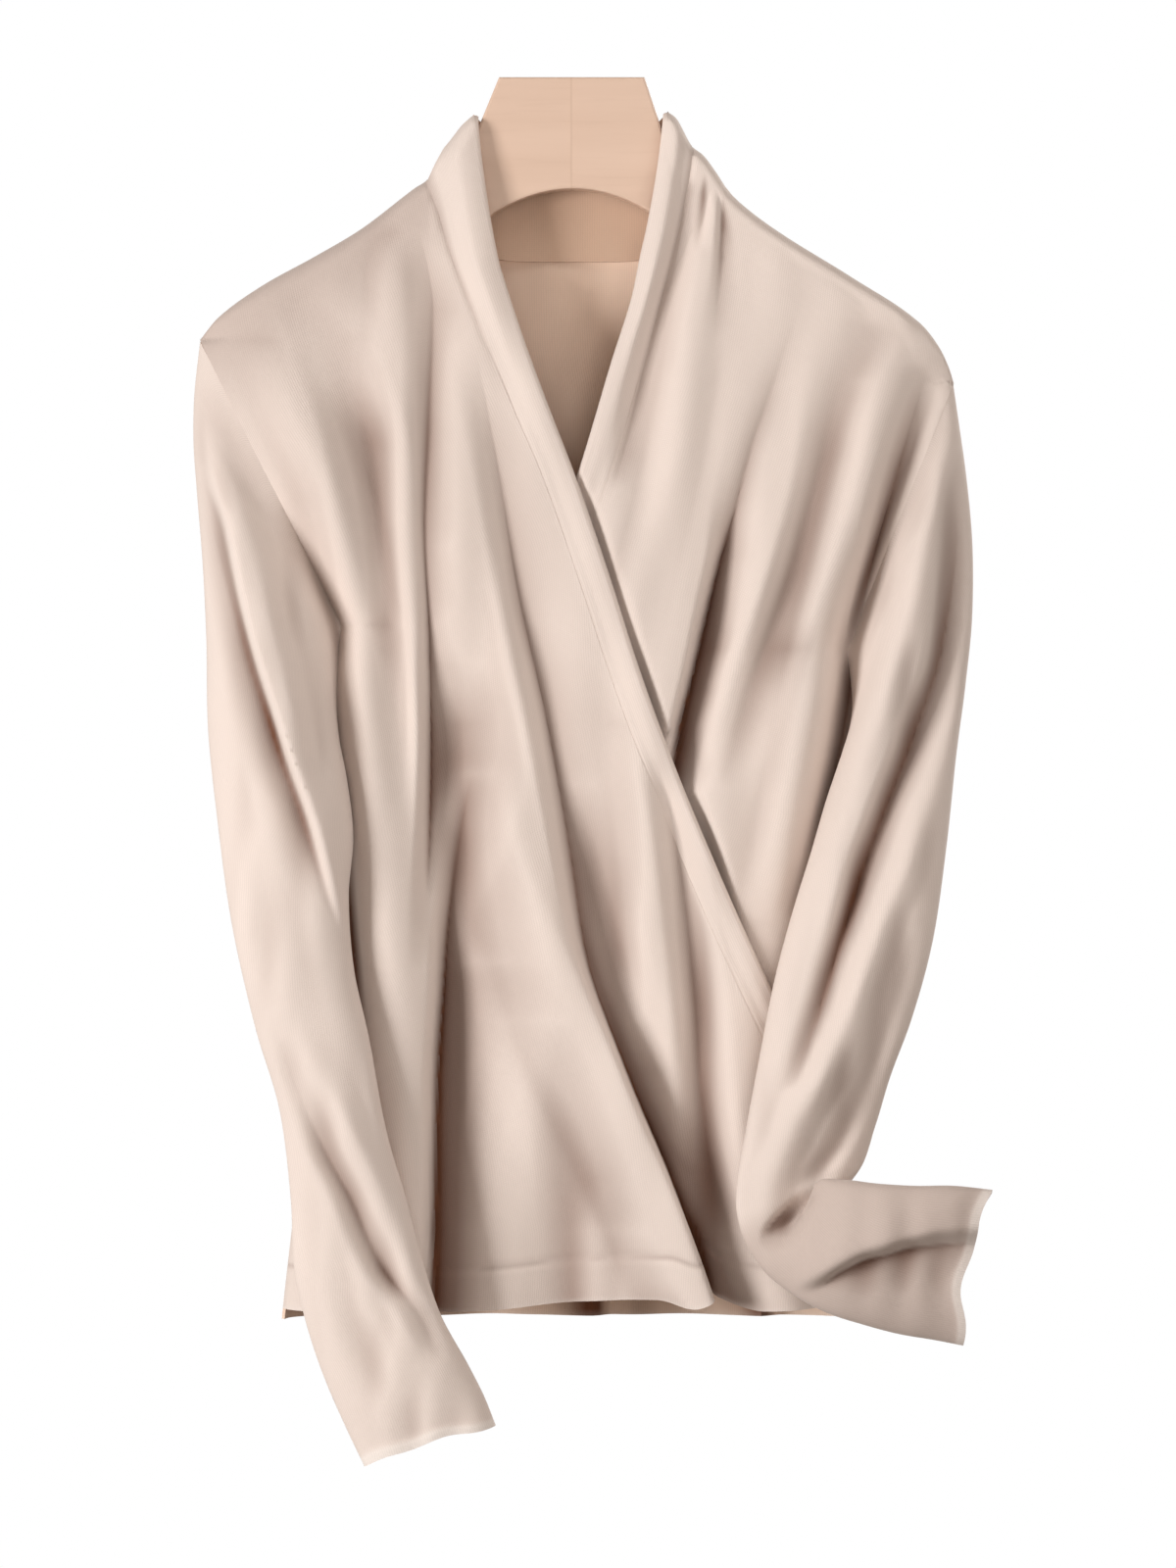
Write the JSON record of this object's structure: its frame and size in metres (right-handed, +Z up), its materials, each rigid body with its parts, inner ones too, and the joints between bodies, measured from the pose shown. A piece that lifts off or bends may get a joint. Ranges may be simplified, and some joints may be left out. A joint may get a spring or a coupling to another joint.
{
  "type": "wrap top on wooden hanger",
  "caption": "Long-sleeved knitted wrap top with crossed fronts and a neckband, hanging on the wooden hanger that holds it.",
  "frame": {"origin": "middle of the hanger head's flat top edge, where the hanger is held", "axes": "+Z up, +X to the viewer's right, +Y from the garment's front to its back"},
  "size_m": [0.4021, 0.14, 0.7024],
  "materials": {
    "knit": "fine plain knit, matt and soft, oatmeal",
    "wood": "pale beech with a clear satin finish"
  },
  "bodies": {
    "root": {"hanger": "wood", "back": "knit", "front_under": "knit", "front_over": "knit", "neckband_back": "knit", "neckband_under": "knit", "neckband_over": "knit", "sleeve_left": "knit", "sleeve_right": "knit"}
  },
  "joints": []
}
